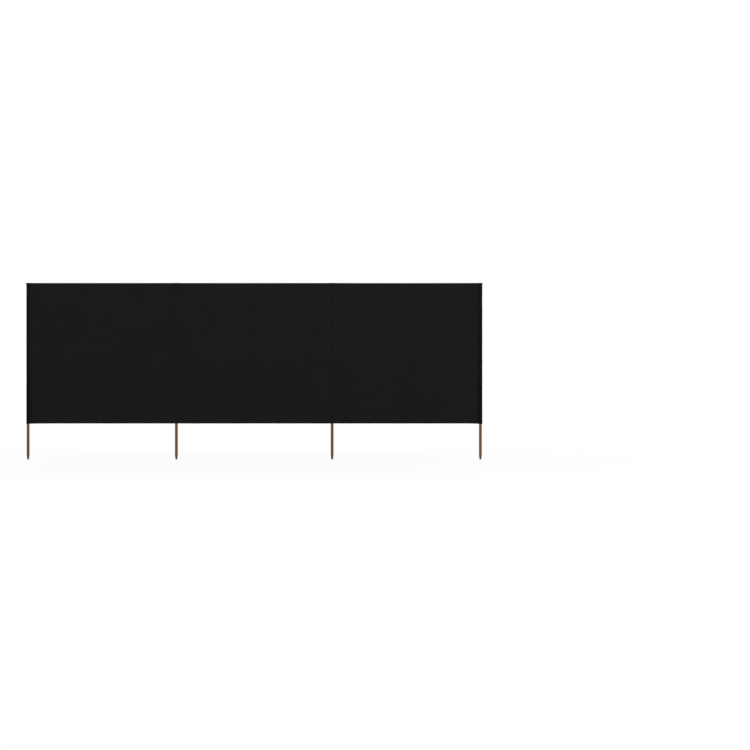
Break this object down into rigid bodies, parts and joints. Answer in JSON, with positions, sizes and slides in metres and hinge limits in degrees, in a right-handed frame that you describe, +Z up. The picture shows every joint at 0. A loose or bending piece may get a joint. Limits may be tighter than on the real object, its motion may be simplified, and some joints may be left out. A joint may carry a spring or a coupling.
{
  "type": "beach windbreak",
  "caption": "Straight beach windbreak: a long black cloth with hems, in bays, on round wooden poles that stand in sewn sleeves and end in sharpened feet.",
  "frame": {"origin": "centre of the blunt tip of the left inner pole's sharpened foot", "axes": "+X along the cloth to the right as seen from the front, +Y from the front to the back, +Z up along the poles"},
  "size_m": [4.008, 0.0296, 1.549],
  "materials": {
    "cloth": "black plain-woven polyester, close weave, slight sheen",
    "wood": "smooth turned dowel, reddish-brown stain, bare and greyer at the sharpened tip"
  },
  "bodies": {
    "middle_bay": {"left_inner_pole": "wood", "right_inner_pole": "wood", "left_inner_sleeve": "cloth", "right_inner_sleeve": "cloth", "left_inner_sleeve_hem": "cloth", "right_inner_sleeve_hem": "cloth", "left_inner_sleeve_cap": "cloth", "right_inner_sleeve_cap": "cloth", "middle_panel": "cloth", "middle_top_hem": "cloth", "middle_bottom_hem": "cloth"},
    "left_bay": {"left_end_pole": "wood", "left_end_sleeve": "cloth", "left_end_sleeve_hem": "cloth", "left_end_sleeve_cap": "cloth", "left_panel": "cloth", "left_top_hem": "cloth", "left_bottom_hem": "cloth", "left_pocket_seam": "cloth"},
    "right_bay": {"right_end_pole": "wood", "right_end_sleeve": "cloth", "right_end_sleeve_hem": "cloth", "right_end_sleeve_cap": "cloth", "right_panel": "cloth", "right_top_hem": "cloth", "right_bottom_hem": "cloth", "right_pocket_seam": "cloth"}
  },
  "joints": [
    {"name": "left_fold", "type": "hinge", "parent": "middle_bay", "child": "left_bay", "pos_m": [0, 0, 0.934], "axis": [0, 0, 1], "range_deg": [-120, 120]},
    {"name": "right_fold", "type": "hinge", "parent": "middle_bay", "child": "right_bay", "pos_m": [1.368, 0, 0.934], "axis": [0, 0, -1], "range_deg": [-120, 120]}
  ]
}
